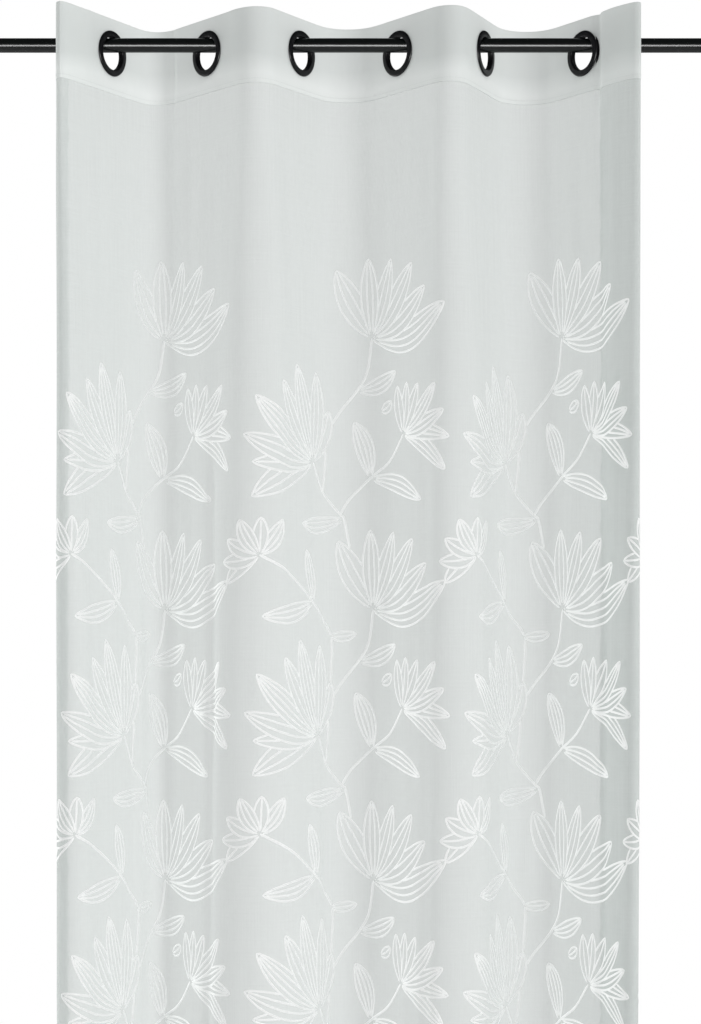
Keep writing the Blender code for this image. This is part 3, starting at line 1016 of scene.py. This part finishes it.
def make_caps(material):
    profile = [(0.0, CAP_LENGTH)]
    profile += arc_points((CAP_RADIUS - 3 * MM, CAP_LENGTH - 3 * MM), 3 * MM, 90, 0, 8)
    profile += [(CAP_RADIUS, 0.5 * MM), (CAP_RADIUS - 0.5 * MM, 0.0), (0.0, 0.0)]
    caps = []
    for name, side in (("rod_cap_left", -1), ("rod_cap_right", 1)):
        mesh = turned_mesh(name + "_turned", profile, 96, closed=False)
        cap = bpy.data.objects.new(name + "_turned", mesh)
        bpy.context.scene.collection.objects.link(cap)
        cap.location = (side * (ROD_LENGTH / 2 + SEAT_GAP), 0.0, 0.0)
        cap.rotation_euler = (0.0, side * math.pi / 2, 0.0)
        mesh.materials.append(material)
        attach(cap, "root")
        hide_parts(name)
        caps.append(cap)
    return caps


def make_embroidery(cloth, material):
    full, top = flower_template(True), flower_template(False)
    pieces = []
    for column in range(COLUMNS_OF_FLOWERS):
        ribbons = Ribbons(cloth)
        for row in range(ROWS_OF_FLOWERS):
            move = np.array([FIRST_ACROSS + REPEAT_ACROSS * column, FIRST_DOWN + REPEAT_DOWN * row])
            for line, width in (top if row == 0 else full):
                moved = line + move
                for run in visible_runs(moved, in_cloth(moved)):
                    ribbons.add(run, width)
        if ribbons.count:
            name = "embroidery_%d" % column
            pieces.append(new_piece(name, ribbons.mesh(name), material))
    return pieces


Seam = namedtuple("Seam", "start end")
VOILE_SEAMS = (
    Seam(start=(22.5, 96), end=(22.5, 2396)),
    Seam(start=(1377.5, 96), end=(1377.5, 2396)),
    Seam(start=(4, 2312), end=(1396, 2312)),
)
BAND_SEAMS = (
    Seam(start=(3, 87), end=(1397, 87)),
    Seam(start=(3, 6), end=(3, 86)),
    Seam(start=(1397, 6), end=(1397, 86)),
)
STITCH_LENGTH = 2.6
STITCH_GAP = 0.9


def make_stitches(name, cloth, seams, lift, material):
    ribbons = Ribbons(cloth)
    for seam in seams:
        start, end = np.array(seam.start, float), np.array(seam.end, float)
        length = np.linalg.norm(end - start)
        forward = (end - start) / length
        for walked in np.arange(0.0, length - STITCH_LENGTH, STITCH_LENGTH + STITCH_GAP):
            line = np.array([start + forward * walked, start + forward * (walked + STITCH_LENGTH)])
            ribbons.add(line, 0.7, height=lift, step=STITCH_LENGTH / 2)
    return new_piece(name, ribbons.mesh(name), material)


voile = voile_material("Sheer voile", VOILE_OPACITY)
hem_voile = voile_material("Turned-in voile", HEM_OPACITY)
band_cloth = band_material()
thread = thread_material("Embroidery thread", THREAD_GROOVE_SHADE, THREAD_COLOUR)
# The seam thread's twist grooves are painted in the band's darker tone: painted shade.
seam_thread = thread_material("Heading seam thread", BAND_DARK, BAND_COLOUR)
eyelet_black = satin_material("Eyelet black", (0.003, 0.003, 0.004), 0.30, 900.0, 0.0, 0.2)
rod_black = satin_material("Rod black", (0.003, 0.004, 0.004), 0.22, 1400.0, 0.0, 0.3)
cap_black = satin_material("Cap black", (0.014, 0.014, 0.015), 0.52, 700.0, 0.0, 0.35)

voile_piece, voile_cloth = make_voile(voile)
hem_pieces = make_hems(voile_cloth, hem_voile)
band_piece, band_surface = make_band(band_cloth)
flowers = make_embroidery(voile_cloth, thread)
voile_stitches = make_stitches("hem_stitches", voile_cloth, VOILE_SEAMS, 0.3, thread)
band_stitches = make_stitches("heading_stitches", band_surface, BAND_SEAMS, 1.0, seam_thread)
eyelets = make_eyelets(eyelet_black)
rod = make_rod(rod_black)
caps = make_caps(cap_black)

# Studio: floor, light and camera

FLOOR_LEVEL = TOP_EDGE - CUT_DROP - 15 * MM


def plain_material(name, colour, roughness):
    nodes = Nodes(name)
    surface = nodes.add("ShaderNodeBsdfPrincipled", {"Base Color": colour, "Roughness": roughness})
    nodes.tree.links.new(surface.outputs[0], nodes.output.inputs["Surface"])
    return nodes.material


def make_floor():
    shape = bmesh.new()
    bmesh.ops.create_circle(shape, cap_ends=True, segments=96, radius=2.6)
    mesh = bpy.data.meshes.new("studio_floor")
    shape.to_mesh(mesh)
    shape.free()
    floor = bpy.data.objects.new("studio_floor", mesh)
    bpy.context.scene.collection.objects.link(floor)
    floor.location = (0.0, 0.0, FLOOR_LEVEL)
    mesh.materials.append(plain_material("Pale floor", (0.80, 0.80, 0.80, 1.0), 0.9))
    return floor


def make_light(name, place, aim, size, power, only_in_gloss=False):
    """A soft light. It lights all of the thin cloth evenly, so it casts no shadow."""
    data = bpy.data.lights.new(name, "AREA")
    data.shape = "RECTANGLE"
    data.size, data.size_y = size
    data.energy = power
    data.use_shadow = False
    light = bpy.data.objects.new(name, data)
    bpy.context.scene.collection.objects.link(light)
    light.location = place
    back = Vector(place) - Vector(aim)
    light.rotation_euler = back.to_track_quat("Z", "Y").to_euler()
    light.visible_camera = False
    if only_in_gloss:
        light.visible_diffuse = False
        light.visible_transmission = False
    return light


def make_world(seen, cast, mirrored):
    """A white studio: the backdrop as seen, the light that it casts, and what gloss mirrors of it."""
    world = bpy.data.worlds.new("White studio")
    world.use_nodes = True
    tree = world.node_tree
    tree.nodes.clear()
    output = tree.nodes.new("ShaderNodeOutputWorld")
    path = tree.nodes.new("ShaderNodeLightPath")
    mix = tree.nodes.new("ShaderNodeMixShader")
    soften_gloss = tree.nodes.new("ShaderNodeMixShader")
    shades = []
    for strength in (cast, seen, mirrored):
        shade = tree.nodes.new("ShaderNodeBackground")
        shade.inputs["Color"].default_value = (1.0, 1.0, 1.0, 1.0)
        shade.inputs["Strength"].default_value = strength
        shades.append(shade)
    tree.links.new(path.outputs["Is Camera Ray"], mix.inputs[0])
    tree.links.new(path.outputs["Is Glossy Ray"], soften_gloss.inputs[0])
    tree.links.new(shades[0].outputs[0], soften_gloss.inputs[1])
    tree.links.new(shades[2].outputs[0], soften_gloss.inputs[2])
    tree.links.new(soften_gloss.outputs[0], mix.inputs[1])
    tree.links.new(shades[1].outputs[0], mix.inputs[2])
    tree.links.new(mix.outputs[0], output.inputs["Surface"])
    bpy.context.scene.world = world


def make_camera():
    data = bpy.data.cameras.new("Camera")
    data.sensor_width = 36.0
    data.lens = 91.22
    data.shift_y = 0.17
    data.clip_end = 60.0
    camera = bpy.data.objects.new("Camera", data)
    bpy.context.scene.collection.objects.link(camera)
    camera.location = (0.0, -3.2, -0.8076)
    camera.rotation_euler = (math.pi / 2 + math.radians(0.296), 0.0, 0.0)
    bpy.context.scene.camera = camera
    return camera


make_floor()
make_light("Front light", (2.68, -1.74, -1.1), (0.0, 0.0, -0.8), (1.4, 2.0), 17.0)
make_light("Back light", (-2.68, 1.74, -1.1), (0.0, 0.0, -0.8), (1.4, 2.0), 50.0)
make_light("Gloss light", (0.0, -3.4, -1.02), (0.0, 0.0, 0.0), (2.4, 1.0), 205.0,
           only_in_gloss=True)
make_world(seen=1.0, cast=0.85, mirrored=0.05)
make_camera()
bpy.context.scene.view_settings.view_transform = "Standard"
